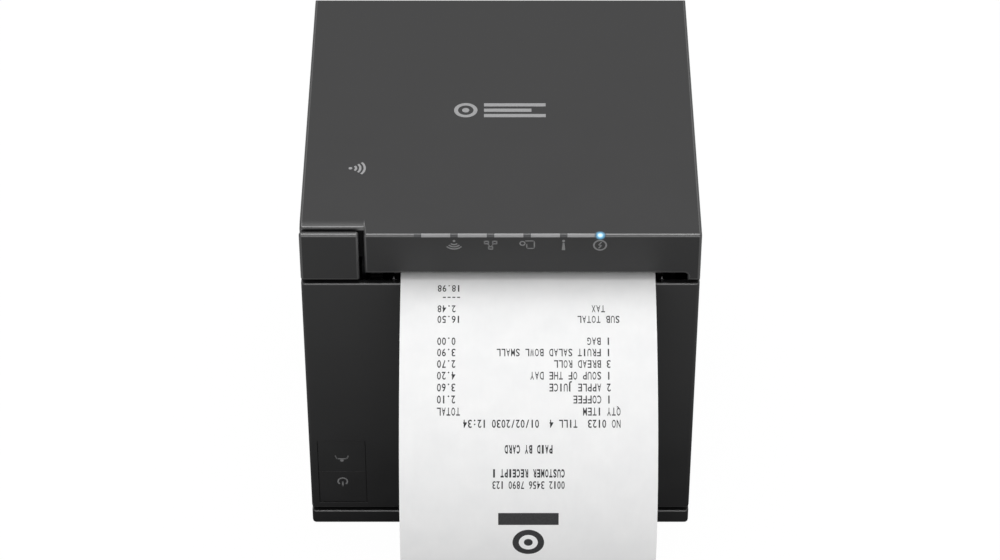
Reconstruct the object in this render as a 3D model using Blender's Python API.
"""Cube-shaped counter-top receipt printer with a flip-up roll cover, a front paper slot and a side lever.

Frame: +X to the right seen from the front, +Y to the rear, +Z up, origin in the middle of the base tray's
flat underside. The rim round it reaches RIM_DROP below, and the four rubber feet FOOT_H. All sizes here are
in millimetres.
"""

import math

import bmesh
import bpy
from mathutils import Vector

MM = 0.001

# Driving dimensions of the case
HALF = 63.5  # half the width and half the depth of the cube
TOP = 126.0
WALL = 2.5
INNER = HALF - WALL
GAP = 0.3
FOOT_H = 1.0
FOOT_R, FOOT_INSET = 5.5, 11.5
RIM_DROP, RIM_W = 0.55, 3.0
CORNER_R = 1.2
BASE_TOP = 5.3
CASE_BOTTOM = 6.8
CASE_TOP = 105.9
SKIRT_BOTTOM = 107.25
BEAM_BOTTOM = 110.15
BEAM_LEG_X = 59.4
LEVER_RIGHT = -44.7
NOTCH_RIGHT = -43.1
NOTCH_BACK = -59.0

# Cover hinge
HINGE_Y, HINGE_Z = 60.3, 107.0
HINGE_R, HINGE_PIN_R, HINGE_BORE_R = 3.0, 1.5, 1.8
BOSS_X = (52.1, 57.3)
BARREL_END = 51.5
CORNER_BARREL_X = 57.9
REAR_WALL_TOP = 103.5

# Paper: an 80 mm web, off centre because the lever takes the left corner
PAPER_X = (-31.7, 49.3)
PAPER_T = 0.25
WEB_Z = 108.42
ROLL_Y, ROLL_Z, ROLL_R, CORE_R, CORE_BORE_R = 8.5, 65.8, 35.8, 9.0, 6.0
BLADE_GAP = (-56.9, -55.3)
RECEIPT_LENGTH, RECEIPT_STEP = 112.0, 4.0
SLOT_RUN = 6.6  # from the blade to the front of the slot

# Platen and gear train, seen along X: (y, z) of each axis
MODULE = 0.6
PLATEN_TEETH, IDLER_TEETH, PINION_TEETH = 20, 22, 12
PLATEN_YZ = (-47.0, 113.75)
PLATEN_R, SHAFT_R = 5.0, 2.0
IDLER_TILT, PINION_TILT = math.radians(-20), math.radians(25)
GEAR_X = (-41.6, -37.6)
MOTOR_R = 11.0

# Chassis side plates
CHASSIS_LEFT_X, CHASSIS_RIGHT_X = (-44.2, -43.0), (54.6, 55.8)

# Print head, rocking on its rod
HEAD_X = (-32.7, 50.8)
HEAD_ROD_YZ = (-43.5, 100.8)

# Auto-cutter: a rack on the rising blade and a pinion on the motor, seen along Y: (x, z)
CUTTER_MODULE, CUTTER_TEETH = 0.8, 14
CUTTER_XZ = (8.0, 78.0)
BLADE_Y = (-56.6, -55.6)

# Cover lever and lock
LEVER_YZ = (-59.5, 109.5)
LEVER_PIN_R = 0.8
LEVER_ARM_X = (-56.0, -52.0)
LEVER_FRONT_T, LEVER_SIDE_T, LEVER_SIDE_TOP = 2.2, 1.5, 123.5
LOCK_YZ = (-37.0, 104.5)
LOCK_R = 1.5
ARM_MEET_Y = (LEVER_YZ[0] + LOCK_YZ[0]) / 2

# Front keys, one above the other in one window
KEYS_X = (-60.6, -45.0)
FEED_Z, POWER_Z = (23.5, 37.3), (9.5, 23.3)
KEY_FACE_Y = -63.25
KEY_GAP = 0.2

# Indicators along the front top edge
LED_PITCH, LED_HALF_W = 11.5, 1.15
LED_X = [-14.6 + LED_PITCH * i for i in range(5)]
STRIP_X = (-27.2, 33.0)
STRIP_BOTTOM = 124.3

# Connector bay in the rear wall
BAY_HALF_X, BAY_FRONT_Y, BAY_TOP, BAY_BOTTOM = 52.0, 50.0, 32.0, 9.8
BOARD_TOP = 10.6

MATERIALS = {  # colour, roughness, metallic
    "case_plastic": ((0.060, 0.060, 0.062), 0.55, 0.0),
    "inner_plastic": ((0.012, 0.012, 0.013), 0.65, 0.0),
    "trim_plastic": ((0.38, 0.38, 0.38), 0.45, 0.0),
    "led_lens": ((0.10, 0.10, 0.11), 0.25, 0.0),
    "led_lit": ((0.55, 0.82, 1.0), 0.2, 0.0),
    "rubber": ((0.02, 0.02, 0.02), 0.85, 0.0),
    "steel": ((0.55, 0.56, 0.57), 0.32, 1.0),
    "black_steel": ((0.02, 0.02, 0.022), 0.5, 0.0),
    "aluminium": ((0.72, 0.73, 0.75), 0.35, 1.0),
    "nylon": ((0.80, 0.79, 0.74), 0.5, 0.0),
    "circuit_board": ((0.02, 0.16, 0.08), 0.45, 0.0),
    "ceramic_head": ((0.35, 0.33, 0.30), 0.3, 0.0),
    "paper": ((0.90, 0.90, 0.89), 0.7, 0.0),
    "core_card": ((0.55, 0.45, 0.33), 0.8, 0.0),
}

FREE_AXES = {"X": (1, 2), "Y": (0, 2), "Z": (0, 1)}


def clear_scene():
    """Removes every object of the open file."""
    for found in list(bpy.data.objects):
        bpy.data.objects.remove(found, do_unlink=True)


def material(name):
    """The named Principled material, made once."""
    found = bpy.data.materials.get(name)
    if found:
        return found
    colour, roughness, metallic = MATERIALS[name]
    made = bpy.data.materials.new(name)
    made.use_nodes = True
    shader = made.node_tree.nodes["Principled BSDF"]
    shader.inputs["Base Color"].default_value = (*colour, 1.0)
    shader.inputs["Roughness"].default_value = roughness
    shader.inputs["Metallic"].default_value = metallic
    made.diffuse_color = (*colour, 1.0)
    return made


# --- Shapes ---------------------------------------------------------------------------------------------


def object_from(bm, name="shape"):
    """A linked object from a bmesh drawn in millimetres."""
    bmesh.ops.recalc_face_normals(bm, faces=bm.faces)
    bmesh.ops.scale(bm, vec=(MM, MM, MM), verts=bm.verts)
    mesh = bpy.data.meshes.new(name)
    bm.to_mesh(mesh)
    bm.free()
    made = bpy.data.objects.new(name, mesh)
    bpy.context.scene.collection.objects.link(made)
    return made


def prism(axis, outline, start, end):
    """The outline, given in the two other axes in order, extruded along axis from start to end."""
    first, second = FREE_AXES[axis]
    along = "XYZ".index(axis)
    bm = bmesh.new()
    corners = []
    for a, b in outline:
        point = [0.0, 0.0, 0.0]
        point[first], point[second], point[along] = a, b, start
        corners.append(bm.verts.new(point))
    face = bm.faces.new(corners)
    grown = bmesh.ops.extrude_face_region(bm, geom=[face])
    push = [0.0, 0.0, 0.0]
    push[along] = end - start
    moved = [v for v in grown["geom"] if isinstance(v, bmesh.types.BMVert)]
    bmesh.ops.translate(bm, vec=push, verts=moved)
    return object_from(bm)


def rectangle(low, high):
    """Corners of an upright rectangle between two (a, b) points."""
    return [low, (high[0], low[1]), high, (low[0], high[1])]


def block(low, high):
    """A box between two (x, y, z) corners."""
    return prism("Z", rectangle(low[:2], high[:2]), low[2], high[2])


def arc(centre, radius, start_deg, end_deg, steps):
    """Points on an arc, both ends included."""
    angles = [math.radians(start_deg + (end_deg - start_deg) * i / steps) for i in range(steps + 1)]
    return [(centre[0] + radius * math.cos(a), centre[1] + radius * math.sin(a)) for a in angles]


def circle(centre, radius, sides):
    """A closed regular polygon that stands for a circle."""
    return arc(centre, radius, 0, 360, sides)[:-1]


def rod(axis, centre, radius, start, end, sides=20):
    """A round bar along axis; centre is in the two other axes."""
    return prism(axis, circle(centre, radius, sides), start, end)


def rounded_block(low, high, radius=CORNER_R, segments=3):
    """A box whose upright edges are rounded."""
    (x0, y0), (x1, y1) = low[:2], high[:2]
    corners = ((x1 - radius, y0 + radius, -90), (x1 - radius, y1 - radius, 0))
    corners += ((x0 + radius, y1 - radius, 90), (x0 + radius, y0 + radius, 180))
    outline = []
    for x, y, turn in corners:
        outline += arc((x, y), radius, turn, turn + 90, segments)
    return prism("Z", outline, low[2], high[2])


def combined(base, tools, operation):
    """Applies one Boolean for each tool to base, and removes the tools."""
    for tool in tools:
        modifier = base.modifiers.new("combine", "BOOLEAN")
        modifier.operation = operation
        modifier.solver = "EXACT"
        modifier.object = tool
        graph = bpy.context.evaluated_depsgraph_get()
        mesh = bpy.data.meshes.new_from_object(base.evaluated_get(graph))
        base.modifiers.clear()
        base.data = mesh
        bpy.data.objects.remove(tool, do_unlink=True)
    return base


def join(base, *tools):
    return combined(base, tools, "UNION")


def cut(base, *tools):
    return combined(base, tools, "DIFFERENCE")


def node(made, name, slot, body, smooth=False):
    """Names a finished shape, gives it its material and hangs it on its body's empty."""
    made.name = name
    made.data.name = name
    made.data.materials.clear()
    made.data.materials.append(material(slot))
    if smooth:
        made.data.shade_smooth()
        made.data.set_sharp_from_angle(angle=math.radians(35))
    holder = body_empty(body)
    made.parent = holder
    made.location = -holder.location
    return made


def body_empty(body):
    """The empty that a rigid body's pieces hang on; it stands on the body's joint axis."""
    name = f"{body}_body"
    found = bpy.data.objects.get(name)
    if found:
        return found
    made = bpy.data.objects.new(name, None)
    bpy.context.scene.collection.objects.link(made)
    made.location = Vector(BODY_ORIGINS[body]) * MM
    return made


# --- Gears ----------------------------------------------------------------------------------------------


def offset_point(start, distance, tilt):
    """The point at a distance below start, swung forward or back by tilt."""
    return (start[0] + distance * math.sin(tilt), start[1] - distance * math.cos(tilt))


def pitch_radius(teeth, module=MODULE):
    return teeth * module / 2


IDLER_YZ = offset_point(PLATEN_YZ, pitch_radius(PLATEN_TEETH + IDLER_TEETH), IDLER_TILT)
PINION_YZ = offset_point(IDLER_YZ, pitch_radius(IDLER_TEETH + PINION_TEETH), PINION_TILT)


def line_angle(start, end):
    return math.atan2(end[1] - start[1], end[0] - start[0])


def gear_outline(centre, teeth, module, tooth_angle):
    """Straight-sided teeth with backlash; one tooth is centred on tooth_angle."""
    radius = pitch_radius(teeth, module)
    root, tip = radius - 1.05 * module, radius + 0.75 * module
    pitch_angle = 2 * math.pi / teeth
    points = []
    for i in range(teeth):
        middle = tooth_angle + i * pitch_angle
        for r, share in ((root, -0.30), (tip, -0.11), (tip, 0.11), (root, 0.30)):
            a = middle + share * pitch_angle
            points.append((centre[0] + r * math.cos(a), centre[1] + r * math.sin(a)))
    return points


def tooth_angles():
    """Tooth phases that put the platen gear, the idler and the motor pinion in mesh."""
    first = line_angle(PLATEN_YZ, IDLER_YZ)
    platen = first
    idler = first + math.pi + math.pi / IDLER_TEETH
    second = line_angle(IDLER_YZ, PINION_YZ)
    behind = (idler - second) * IDLER_TEETH / PINION_TEETH
    pinion = second + math.pi - behind + math.pi / PINION_TEETH
    return platen, idler, pinion


def rack_outline():
    """The cutter blade seen along Y: a shallow V edge, a tail, and rack teeth that face the pinion."""
    pitch = math.pi * CUTTER_MODULE
    line = CUTTER_XZ[0] + pitch_radius(CUTTER_TEETH, CUTTER_MODULE)
    root, tip = line + 1.05 * CUTTER_MODULE, line - 0.75 * CUTTER_MODULE
    points = [(19.5, 96.0), (52.0, 96.0), (52.0, 106.6), (9.0, 105.2), (-34.0, 106.6), (-34.0, 96.0)]
    points.append((root, 96.0))
    gap_centres = [CUTTER_XZ[1] + i * pitch for i in range(3, -5, -1)]
    for z in gap_centres:
        tooth = z - pitch / 2
        for x, share in ((root, 0.30), (tip, 0.11), (tip, -0.11), (root, -0.30)):
            points.append((x, tooth + share * pitch))
    points += [(root, 64.0), (19.5, 64.0)]
    return points


# --- Case -----------------------------------------------------------------------------------------------


def base_tray():
    """The floor of the case, with a rim under it, a wall that stands inside the case and foot pockets."""
    tray = rounded_block((-HALF, -HALF, -RIM_DROP), (HALF, HALF, BASE_TOP))
    hollow = HALF - RIM_W
    cut(tray, block((-hollow, -hollow, -2), (hollow, hollow, 0)))
    wall = INNER - GAP
    join(tray, block((-wall, -wall, 1), (wall, wall, BASE_TOP + 4)))
    pocket = wall - 1.3
    cut(tray, block((-pocket, -pocket, 2.5), (pocket, pocket, 20)))
    bay = BAY_HALF_X + 4
    cut(tray, block((-bay, pocket - 1, BASE_TOP), (bay, wall + 1, 20)))
    for place in foot_places():
        cut(tray, rod("Z", place, FOOT_R + GAP, -1, 1 + GAP, 24))
    node(tray, "base_tray", "case_plastic", "case")


def foot_places():
    reach = HALF - FOOT_INSET
    return [(x, y) for y in (-reach, reach) for x in (-reach, reach)]


def feet():
    names = ("foot_front_left", "foot_front_right", "foot_rear_left", "foot_rear_right")
    for name, place in zip(names, foot_places()):
        node(rod("Z", place, FOOT_R, -FOOT_H, 1.0, 20), name, "rubber", "case", smooth=True)


def lower_case():
    case = rounded_block((-HALF, -HALF - 9, CASE_BOTTOM), (HALF, HALF, CASE_TOP))
    cut(case, block((-HALF - 5, -HALF - 15, 0), (HALF + 5, -HALF + WALL + GAP, 120)))
    cut(case, block((-INNER, -HALF - 5, 0), (INNER, INNER, 120)))
    shell = block((-BAY_HALF_X - 2, BAY_FRONT_Y, BAY_BOTTOM), (BAY_HALF_X + 2, INNER + 1, BAY_TOP + 2))
    join(case, shell)
    cut(case, block((-BAY_HALF_X, BAY_FRONT_Y - 2, BAY_BOTTOM - 0.001), (BAY_HALF_X, 70, BAY_TOP)))
    for side in (-1, 1):
        low, high = sorted((side * 59.2, side * (INNER + 0.4)))
        join(case, block((low, -33, 98), (high, 52, 106)))
        low, high = sorted((side * 59.2, side * (INNER - GAP)))
        join(case, block((low, -33, 98), (high, 52, 109)))
    cut(case, block((-70, HINGE_Y - 3.5, REAR_WALL_TOP), (70, 70, 120)))
    for side in (-1, 1):
        low, high = sorted((side * BOSS_X[0], side * BOSS_X[1]))
        join(case, rod("X", (HINGE_Y, HINGE_Z), HINGE_R, low, high))
        join(case, block((low, HINGE_Y - HINGE_R, 92), (high, INNER + 0.5, HINGE_Z - 1)))
        cut(case, rod("X", (HINGE_Y, HINGE_Z), HINGE_BORE_R, low - 1, high + 1))
    node(case, "lower_case", "case_plastic", "case")


def front_panel():
    panel = rounded_block((-HALF, -HALF, CASE_BOTTOM), (HALF, -HALF + 9, CASE_TOP))
    cut(panel, block((-HALF - 5, -HALF + WALL, 0), (HALF + 5, 0, 120)))
    low = (KEYS_X[0] - KEY_GAP, -70, POWER_Z[0] - KEY_GAP)
    window = block(low, (KEYS_X[1] + KEY_GAP, -50, FEED_Z[1] + KEY_GAP))
    cut(panel, window)
    for x in (PAPER_X[0] - 2.5, PAPER_X[1] + 1.8):
        join(panel, block((x, -62.6, CASE_TOP - 1), (x + 0.6, -61.4, CASE_TOP + 1.8)))
    node(panel, "front_panel", "case_plastic", "case")


def hinge_pins():
    for side, name in ((-1, "hinge_pin_left"), (1, "hinge_pin_right")):
        low, high = sorted((side * 46.5, side * 61.7))
        pin = rod("X", (HINGE_Y, HINGE_Z), HINGE_PIN_R, low, high, 16)
        node(pin, name, "steel", "case", smooth=True)


def bucket_outline(radius, top):
    """A half-round trough with straight walls above its centre."""
    centre = (ROLL_Y, 72.0)
    return [(ROLL_Y + radius, top), (ROLL_Y - radius, top)] + arc(centre, radius, 180, 360, 20)


def roll_bucket():
    bucket = prism("X", bucket_outline(44.5, 100.0), -35.8, 53.3)
    join(bucket, block((-35.8, -19, 2.8), (53.3, -16, 45)))
    join(bucket, block((-35.8, 50.6, BAY_TOP + 2.3), (53.3, 52.6, 75)))
    cut(bucket, prism("X", bucket_outline(42.5, 130.0), -33.8, 51.3))
    node(bucket, "roll_bucket", "inner_plastic", "case", smooth=True)


# --- Roll cover -----------------------------------------------------------------------------------------


def notched_outline(inset):
    """The cover seen from above, with the lever's corner left out."""
    side = HALF - inset
    notch_x, notch_y = NOTCH_RIGHT + inset, NOTCH_BACK + inset
    outline = [(notch_x, -side), (side, -side), (side, side), (-side, side)]
    return outline + [(-side, notch_y), (notch_x, notch_y)]


def roll_cover():
    cover = prism("Z", notched_outline(0), SKIRT_BOTTOM, TOP)
    cut(cover, prism("Z", notched_outline(WALL), 90, TOP - WALL))
    leg = (BEAM_LEG_X, BEAM_BOTTOM)
    slot = [(-50, 90), (leg[0], 90)] + arc((leg[0] - 1.2, leg[1] - 1.2), 1.2, 0, 90, 4) + [(-50, leg[1])]
    cut(cover, prism("Y", slot, -70, -HALF + WALL + 0.5))
    behind = NOTCH_BACK + WALL + 0.5
    cut(cover, block((-50, -70, 90), (NOTCH_RIGHT + WALL + 0.5, behind, BEAM_BOTTOM)))
    cut(cover, block((-INNER - 0.2, NOTCH_BACK - 0.1, 90), (NOTCH_RIGHT + 1, behind, 113.5)))
    front, back = NOTCH_BACK - 1, NOTCH_BACK + 3.25
    slope = [(front, TOP - 1.3), (back, TOP), (back, TOP + 3), (front, TOP + 3)]
    cut(cover, prism("X", slope, -70, NOTCH_RIGHT))
    join(cover, rod("X", (HINGE_Y, HINGE_Z), HINGE_R, -BARREL_END, BARREL_END))
    for side in (-1, 1):
        low, high = sorted((side * CORNER_BARREL_X, side * HALF))
        join(cover, rod("X", (HINGE_Y, HINGE_Z), HINGE_R, low, high))
        low, high = sorted((side * (BOSS_X[0] - GAP), side * (BOSS_X[1] + GAP)))
        cut(cover, block((low, 56, 90), (high, 70, HINGE_Z + HINGE_R + 0.6)))
        low, high = sorted((side * 46, side * 62))
        cut(cover, rod("X", (HINGE_Y, HINGE_Z), HINGE_BORE_R, low, high, 16))
    cut(cover, block((STRIP_X[0], -70, 124.0), (STRIP_X[1], -HALF + 2.4, 130)))
    node(cover, "roll_cover", "case_plastic", "cover")


def edge_bar(start, end, front, back, top, chamfer):
    """A short bar along the front top edge with its outer corner cut back."""
    outline = [(front, STRIP_BOTTOM), (back, STRIP_BOTTOM), (back, top)]
    outline += [(front + chamfer, top), (front, top - chamfer)]
    return prism("X", outline, start, end)


def indicators():
    """Grey trim segments on one backing strip, and a lens in each gap between them."""
    back = block((STRIP_X[0] + GAP, -62.0, STRIP_BOTTOM), (STRIP_X[1] - GAP, -61.4, TOP - 0.2))
    margin = LED_HALF_W + 0.35
    for x in LED_X:
        join(back, edge_bar(x - LED_PITCH + margin, x - margin, -63.45, -61.4, TOP - 0.05, 1.1))
    node(back, "indicator_trim", "trim_plastic", "cover")
    for i, x in enumerate(LED_X):
        lens = edge_bar(x - LED_HALF_W, x + LED_HALF_W, -63.4, -62.3, TOP - 0.1, 0.7)
        slot = "led_lit" if i == len(LED_X) - 1 else "led_lens"
        node(lens, f"status_lens_{i + 1}", slot, "cover")
    board = block((-29, -60.6, 112.5), (36, -59.4, 122.6))
    node(board, "indicator_board", "circuit_board", "cover")


def platen_holder():
    """The bridge under the cover that carries the platen in two ears."""
    low_x, high_x = -34.9, 52.9
    holder = block((low_x, -56, 120), (high_x, -42, 121.5))
    ear = [(-51, 121), (-51, 112.5)] + arc(PLATEN_YZ, 3.9, 200, 340, 8) + [(-43, 112.5), (-43, 121)]
    join(holder, prism("X", ear, low_x, low_x + 1.4), prism("X", ear, high_x - 1.4, high_x))
    for x in (-20, 38):
        join(holder, rod("Z", (x, -46), 3, 121, 123.2, 12))
    cut(holder, rod("X", PLATEN_YZ, SHAFT_R + GAP, low_x - 1, high_x + 1))
    node(holder, "platen_holder", "inner_plastic", "cover")
    blade = block((-34, -55.3, 109.2), (52, -54.3, 119.7))
    node(blade, "cutter_fixed_blade", "steel", "cover")


def antenna_board():
    node(block((-56, -42, 121.6), (-36, -20, 123.1)), "antenna_board", "circuit_board", "cover")


# --- Paper feed -----------------------------------------------------------------------------------------


def platen():
    roller = rod("X", PLATEN_YZ, PLATEN_R, -32.7, 50.8, 32)
    cut(roller, rod("X", PLATEN_YZ, SHAFT_R + GAP, -40, 60, 16))
    node(roller, "platen_roller", "rubber", "platen", smooth=True)
    node(rod("X", PLATEN_YZ, SHAFT_R, -47, 58.2, 16), "platen_shaft", "steel", "platen", smooth=True)
    for name, low, high in (("platen_bearing_left", -45.2, -42.0), ("platen_bearing_right", 54.5, 56.9)):
        ring = rod("X", PLATEN_YZ, 3.4, low, high, 24)
        cut(ring, rod("X", PLATEN_YZ, SHAFT_R + GAP, low - 1, high + 1, 16))
        node(ring, name, "inner_plastic", "cover", smooth=True)


def gear(name, slot, body, centre, teeth, angle, bore):
    wheel = prism("X", gear_outline(centre, teeth, MODULE, angle), *GEAR_X)
    cut(wheel, rod("X", centre, bore, GEAR_X[0] - 1, GEAR_X[1] + 1, 16))
    node(wheel, name, slot, body)


def gear_train():
    platen_angle, idler_angle, pinion_angle = tooth_angles()
    gear("platen_gear", "inner_plastic", "platen", PLATEN_YZ, PLATEN_TEETH, platen_angle, SHAFT_R + GAP)
    gear("idler_gear", "inner_plastic", "idler", IDLER_YZ, IDLER_TEETH, idler_angle, 1.8)
    gear("motor_pinion", "nylon", "pinion", PINION_YZ, PINION_TEETH, pinion_angle, 1.3)


def feed_motor():
    motor = rod("X", PINION_YZ, MOTOR_R, -60.5, CHASSIS_LEFT_X[0] - GAP, 28)
    join(motor, rod("X", PINION_YZ, 1.0, -50, GEAR_X[1] + 0.8, 12))
    node(motor, "feed_motor", "black_steel", "case", smooth=True)


def side_plate(x):
    """One chassis side with an open notch for the platen bearing and a hole for the lock shaft."""
    notch = 3.7
    y, z = PLATEN_YZ
    outline = [(-59.3, 60), (-34.5, 60), (-34.5, 108), (-42.5, 115), (y + notch, 115)]
    outline += arc((y, z), notch, 0, -180, 10)
    outline += [(y - notch, 115), (-51.6, 115), (-57.0, 108), (-57.0, 100), (-59.3, 98)]
    plate = prism("X", outline, *x)
    cut(plate, rod("X", LOCK_YZ, LOCK_R + 0.4, x[0] - 1, x[1] + 1, 16))
    return plate


def mech_chassis():
    """Sheet-steel frame: two sides, a front plate for the cutter and a shelf under the print head."""
    chassis = side_plate(CHASSIS_LEFT_X)
    inner = (CHASSIS_LEFT_X[0] + 0.6, CHASSIS_RIGHT_X[1] - 0.6)
    join(chassis, side_plate(CHASSIS_RIGHT_X))
    join(chassis, block((inner[0], -54.4, 62), (inner[1], -53.2, 94)))
    join(chassis, block((inner[0], -54.0, 86.0), (inner[1], -36.8, 87.2)))
    for x in (-35.0, 51.3):
        join(chassis, block((x, -46, 86.5), (x + 1.2, -41.5, 103)))
    cut(chassis, rod("X", HEAD_ROD_YZ, 1.3, -36, 53.5, 16))
    cut(chassis, rod("X", PINION_YZ, 3.5, -46, -42.6, 20))
    join(chassis, rod("X", IDLER_YZ, 1.5, -43.6, GEAR_X[1] + 0.5, 16))
    cut(chassis, rod("Y", CUTTER_XZ, 3.0, -56, -51, 20))
    node(chassis, "mech_chassis", "black_steel", "case")


def print_head():
    low, high = HEAD_X
    node(block((low, -52, 106.05), (high, -42, 108.0)), "thermal_head", "ceramic_head", "head")
    sink = block((low, -52, 98.6), (high, -41.4, 105.75))
    for y in (-50.6, -48.4, -46.2):
        cut(sink, block((low + 12, y - 0.7, 90), (high - 12, y + 0.7, 103)))
    cut(sink, rod("X", HEAD_ROD_YZ, 1.3, low - 1, high + 1, 16))
    node(sink, "head_heatsink", "aluminium", "head")
    node(rod("X", HEAD_ROD_YZ, 1.0, -35.4, 52.9, 12), "head_pivot_rod", "steel", "case", smooth=True)
    for name, x in (("head_spring_left", low + 6), ("head_spring_right", high - 6)):
        node(coil((x, -49.0), 87.9, 98.0), name, "steel", "case", smooth=True)


def coil(centre, bottom, top, radius=2.2, wire=0.4, turns=4.5, per_turn=10):
    """An upright compression spring."""
    count = int(turns * per_turn)
    curve = bpy.data.curves.new("coil", "CURVE")
    curve.dimensions = "3D"
    curve.bevel_depth = wire * MM
    curve.bevel_resolution = 0
    curve.use_fill_caps = True
    spline = curve.splines.new("POLY")
    spline.points.add(count)
    for i in range(count + 1):
        angle = 2 * math.pi * i / per_turn
        x, y = centre[0] + radius * math.cos(angle), centre[1] + radius * math.sin(angle)
        z = bottom + (top - bottom) * i / count
        spline.points[i].co = (x * MM, y * MM, z * MM, 1)
    made = bpy.data.objects.new("coil", curve)
    bpy.context.scene.collection.objects.link(made)
    graph = bpy.context.evaluated_depsgraph_get()
    mesh = bpy.data.meshes.new_from_object(made.evaluated_get(graph))
    bpy.data.objects.remove(made, do_unlink=True)
    bm = bmesh.new()
    bm.from_mesh(mesh)
    bmesh.ops.remove_doubles(bm, verts=bm.verts, dist=0.00001)
    bmesh.ops.scale(bm, vec=(1 / MM,) * 3, verts=bm.verts)
    return object_from(bm)


# --- Auto-cutter ----------------------------------------------------------------------------------------


def cutter():
    blade = prism("Y", rack_outline(), *BLADE_Y)
    node(blade, "cutter_blade", "steel", "blade")
    pinion = prism("Y", gear_outline(CUTTER_XZ, CUTTER_TEETH, CUTTER_MODULE, 0.0), -57.6, -54.8)
    cut(pinion, rod("Y", CUTTER_XZ, 1.3, -60, -50, 16))
    node(pinion, "cutter_pinion", "nylon", "cutter_gear")
    motor = rod("Y", CUTTER_XZ, 8.0, -52.9, -38.0, 24)
    join(motor, rod("Y", CUTTER_XZ, 1.0, -58.4, -50, 12))
    node(motor, "cutter_motor", "steel", "case", smooth=True)


# --- Lever and lock -------------------------------------------------------------------------------------


def cover_lever():
    y, z = LEVER_YZ
    bottom = CASE_TOP + 1.35
    lever = block((-HALF, -HALF, bottom), (LEVER_RIGHT, -HALF + LEVER_FRONT_T, TOP))
    join(lever, block((-HALF, -HALF, bottom), (-HALF + LEVER_SIDE_T, NOTCH_BACK - 0.6, LEVER_SIDE_TOP)))
    join(lever, rod("X", LEVER_YZ, 1.9, -58.6, -49.0, 16))
    join(lever, block((-58.6, -62.2, z - 1.3), (-49.0, y, z + 1.3)))
    front, end, under, over = y - 1.3, ARM_MEET_Y + 0.65, 105.2, 106.7
    arm = [(front, z), (front, under), (end, under), (end, over), (y + 1.4, over), (y + 1.4, z)]
    join(lever, prism("X", arm, *LEVER_ARM_X))
    cut(lever, rod("X", LEVER_YZ, LEVER_PIN_R + 0.25, -59, -48.5, 12))
    relief = (-HALF + LEVER_SIDE_T + 0.3, -HALF + LEVER_FRONT_T - 0.4, bottom - 1)
    cut(lever, block(relief, (LEVER_RIGHT + 1, NOTCH_BACK - 1, bottom + 0.7)))
    node(lever, "cover_lever", "case_plastic", "lever")
    bracket = block((-60.5, -60.7, 96.5), (-47.1, -57.9, 104.2))
    for x in (-60.5, -48.6):
        join(bracket, block((x, -60.7, 103), (x + 1.5, -57.5, 111.4)))
    cut(bracket, rod("X", LEVER_YZ, LEVER_PIN_R + 0.2, -62, -46, 12))
    node(bracket, "lever_bracket", "inner_plastic", "case")
    node(rod("X", LEVER_YZ, LEVER_PIN_R, -60.4, -47.2, 12), "lever_pin", "steel", "case", smooth=True)


def lock():
    """A cross shaft with a crank that the lever lifts, and a hook over each end of the platen shaft."""
    y, z = LOCK_YZ
    shaft = rod("X", LOCK_YZ, LOCK_R, -57.5, 57.4, 16)
    join(shaft, rod("X", LOCK_YZ, 2.6, *LEVER_ARM_X, 16))
    end, under, over = ARM_MEET_Y - 0.65, 107.3, 108.8
    crank = [(y, z), (y + 0.5, z + 3.5), (end, over), (end, under), (y - 3.5, under), (y - 2, z)]
    join(shaft, prism("X", crank, *LEVER_ARM_X))
    node(shaft, "lock_shaft", "steel", "lock", smooth=True)
    py, pz = PLATEN_YZ
    claw = pz + SHAFT_R + GAP
    hook = [(py - 0.7, claw), (py - 0.9, claw + 0.5), (py - 0.2, claw + 2.1)]
    hook += [(py + 3.5, claw + 2.1), (py + 5.6, claw - 1.0)]
    hook += arc(LOCK_YZ, 3.0, 60, -150, 10) + [(py + 2.4, pz - 2.6), (py + 2.4, claw)]
    for name, x in (("lock_hook_left", -36.8), ("lock_hook_right", 53.2)):
        plate = prism("X", hook, x, x + 1.0)
        cut(plate, rod("X", LOCK_YZ, LOCK_R + 0.25, x - 1, x + 2, 16))
        node(plate, name, "steel", "lock")


# --- Keys -----------------------------------------------------------------------------------------------


def keys():
    middle_x = sum(KEYS_X) / 2
    board = block((KEYS_X[0] + 0.5, -56.8, 10), (KEYS_X[1], -55.6, 36))
    rows = (("feed_button", "feed_key", FEED_Z), ("power_button", "power_key", POWER_Z))
    for name, body, (low, high) in rows:
        key = block((KEYS_X[0], KEY_FACE_Y, low), (KEYS_X[1], -61.2, high))
        middle_z = (low + high) / 2
        join(key, block((KEYS_X[0], -61.6, low), (KEYS_X[1], -60.0, high)))
        join(key, block((KEYS_X[0], -60.7, low), (KEYS_X[1] + 1.6, -59.8, high)))
        join(key, rod("Y", (middle_x, middle_z), 1.6, -60.5, -58.5, 12))
        node(key, name, "case_plastic", body)
        join(board, rod("Y", (middle_x, middle_z), 1.4, -57.8, -56, 12))
    node(board, "button_board", "circuit_board", "case")


# --- Paper ----------------------------------------------------------------------------------------------


def strip(path, thickness=PAPER_T):
    """A band of paper across PAPER_X that follows a path of (y, z) points at its middle."""
    upper, lower = [], []
    for i, point in enumerate(path):
        before, after = path[max(i - 1, 0)], path[min(i + 1, len(path) - 1)]
        along = Vector((after[0] - before[0], after[1] - before[1])).normalized()
        side = Vector((-along.y, along.x)) * thickness / 2
        upper.append((point[0] + side.x, point[1] + side.y))
        lower.append((point[0] - side.x, point[1] - side.y))
    return prism("X", upper + lower[::-1], *PAPER_X)


def receipt_fall(run):
    """How steeply, in degrees, the receipt falls at a distance along it from the cutter."""
    if run < SLOT_RUN:
        return 3.0 + 11.0 * run / SLOT_RUN
    free = run - SLOT_RUN
    return 14.0 + 0.45 * free + 0.004 * free**2


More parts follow.
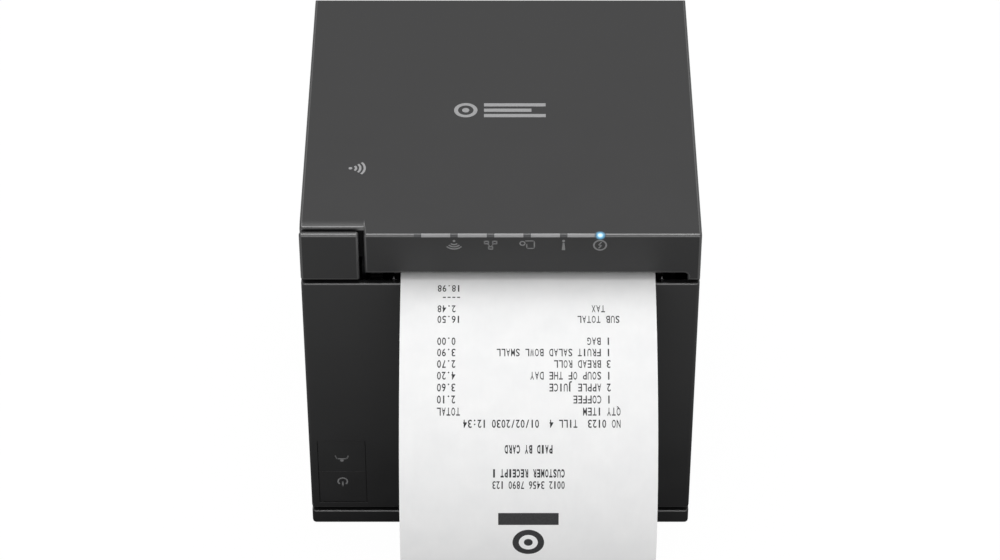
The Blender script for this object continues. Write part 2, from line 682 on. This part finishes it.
def receipt_path():
    """From the cutter out through the slot, then drooping under its own weight and the roll's curl."""
    y, z = BLADE_GAP[0], WEB_Z - 0.05
    points = [(y, z)]
    for i in range(round(RECEIPT_LENGTH / RECEIPT_STEP)):
        fall = math.radians(receipt_fall((i + 0.5) * RECEIPT_STEP))
        y -= RECEIPT_STEP * math.cos(fall)
        z -= RECEIPT_STEP * math.sin(fall)
        points.append((y, z))
    return points


def web_path():
    """The tangent from the roll to the nip, then level to the cutter."""
    nip = (-42.0, WEB_Z)
    radius = ROLL_R + GAP + PAPER_T / 2
    across, down = ROLL_Y - nip[0], nip[1] - ROLL_Z
    reach = math.hypot(across, down)
    fall = math.atan2(down, across) - math.asin(radius / reach)
    run = math.sqrt(reach**2 - radius**2)
    leave = (nip[0] + run * math.cos(fall), nip[1] - run * math.sin(fall))
    return [leave, nip, (BLADE_GAP[1], WEB_Z)]


def paper():
    low, high = PAPER_X
    node(strip(receipt_path()), "receipt", "paper", "case", smooth=True)
    node(strip(web_path()), "paper_web", "paper", "case")
    roll = rod("X", (ROLL_Y, ROLL_Z), ROLL_R, low, high, 48)
    cut(roll, rod("X", (ROLL_Y, ROLL_Z), CORE_R + GAP, low - 1, high + 1, 24))
    node(roll, "paper_roll", "paper", "roll", smooth=True)
    core = rod("X", (ROLL_Y, ROLL_Z), CORE_R, low - 0.3, high + 0.3, 24)
    cut(core, rod("X", (ROLL_Y, ROLL_Z), CORE_BORE_R, low - 1, high + 1, 24))
    node(core, "roll_core", "core_card", "roll", smooth=True)
    sensor = block((-40.2, 18, 42), (-36.1, 30, 52))
    node(sensor, "paper_end_sensor", "inner_plastic", "case")


# --- Electronics ----------------------------------------------------------------------------------------


def main_board():
    board = block((-56, 14, BOARD_TOP - 1.6), (56, 49.6, BOARD_TOP))
    join(board, block((-12, 18, BOARD_TOP - 0.5), (2, 30, BOARD_TOP + 1.6)))
    join(board, rod("Z", (-44, 24), 5, BOARD_TOP - 0.5, 24, 16))
    join(board, rod("Z", (46, 26), 4, BOARD_TOP - 0.5, 22, 16))
    node(board, "main_board", "circuit_board", "case")


SOCKETS = {  # x range, height, depth, opening half-width, opening height, opening depth
    "network_socket": ((-2, 14), 13.5, 18, 5.9, 8.2, 11.5),
    "drawer_kick_socket": ((22, 36), 12.5, 16, 4.9, 7.0, 10.0),
    "usb_socket": ((-24, -12), 11.0, 17, 4.2, 7.8, 9.5),
}
SOCKET_FACE_Y = 52.0
SOCKET_FLOOR = BOARD_TOP + GAP


def sockets():
    """The plate across the connector bay, and the sockets that look through it."""
    low = (-BAY_HALF_X + GAP, BAY_FRONT_Y + 0.2, BASE_TOP - 2.5)
    plate = block(low, (BAY_HALF_X - GAP, SOCKET_FACE_Y - 0.8, BAY_TOP - GAP))
    for name, (x, height, depth, half_w, tall, deep) in SOCKETS.items():
        middle_x, middle_z = sum(x) / 2, SOCKET_FLOOR + height / 2
        top = SOCKET_FLOOR + height
        body = block((x[0], SOCKET_FACE_Y - depth, SOCKET_FLOOR), (x[1], SOCKET_FACE_Y, top))
        low = (middle_x - half_w, SOCKET_FACE_Y - deep, middle_z - tall / 2)
        cut(body, block(low, (middle_x + half_w, 60, middle_z + tall / 2)))
        if name == "usb_socket":
            low = (middle_x - 2.8, SOCKET_FACE_Y - deep - 1, middle_z - 1.6)
            join(body, block(low, (middle_x + 2.8, SOCKET_FACE_Y - 1, middle_z + 1.6)))
        node(body, name, "steel" if name == "usb_socket" else "inner_plastic", "case")
        low = (x[0] - GAP, 40, BASE_TOP + 3.2)
        cut(plate, block(low, (x[1] + GAP, 60, top + GAP)))
    inlet = block((-46, 34, SOCKET_FLOOR), (-32, SOCKET_FACE_Y, SOCKET_FLOOR + 13))
    cut(inlet, rod("Y", (-39, SOCKET_FLOOR + 6.5), 4.75, SOCKET_FACE_Y - 9, 60, 24))
    join(inlet, rod("Y", (-39, SOCKET_FLOOR + 6.5), 0.9, SOCKET_FACE_Y - 10, SOCKET_FACE_Y - 1, 10))
    node(inlet, "power_inlet", "inner_plastic", "case")
    cut(plate, block((-46 - GAP, 40, BASE_TOP + 3.2), (-32 + GAP, 60, SOCKET_FLOOR + 13 + GAP)))
    node(plate, "connector_plate", "steel", "case")


BODY_ORIGINS = {
    "case": (0, 0, 0),
    "cover": (0, HINGE_Y, HINGE_Z),
    "platen": (0, *PLATEN_YZ),
    "idler": (0, *IDLER_YZ),
    "pinion": (0, *PINION_YZ),
    "head": (0, *HEAD_ROD_YZ),
    "blade": (0, sum(BLADE_Y) / 2, 100),
    "cutter_gear": (CUTTER_XZ[0], -56, CUTTER_XZ[1]),
    "lever": (0, *LEVER_YZ),
    "lock": (0, *LOCK_YZ),
    "feed_key": (sum(KEYS_X) / 2, KEY_FACE_Y, sum(FEED_Z) / 2),
    "power_key": (sum(KEYS_X) / 2, KEY_FACE_Y, sum(POWER_Z) / 2),
    "roll": (0, ROLL_Y, ROLL_Z),
}


def main():
    clear_scene()
    base_tray()
    feet()
    lower_case()
    front_panel()
    hinge_pins()
    roll_bucket()
    roll_cover()
    indicators()
    platen_holder()
    antenna_board()
    platen()
    gear_train()
    feed_motor()
    mech_chassis()
    print_head()
    cutter()
    cover_lever()
    lock()
    keys()
    paper()
    main_board()
    sockets()


main()
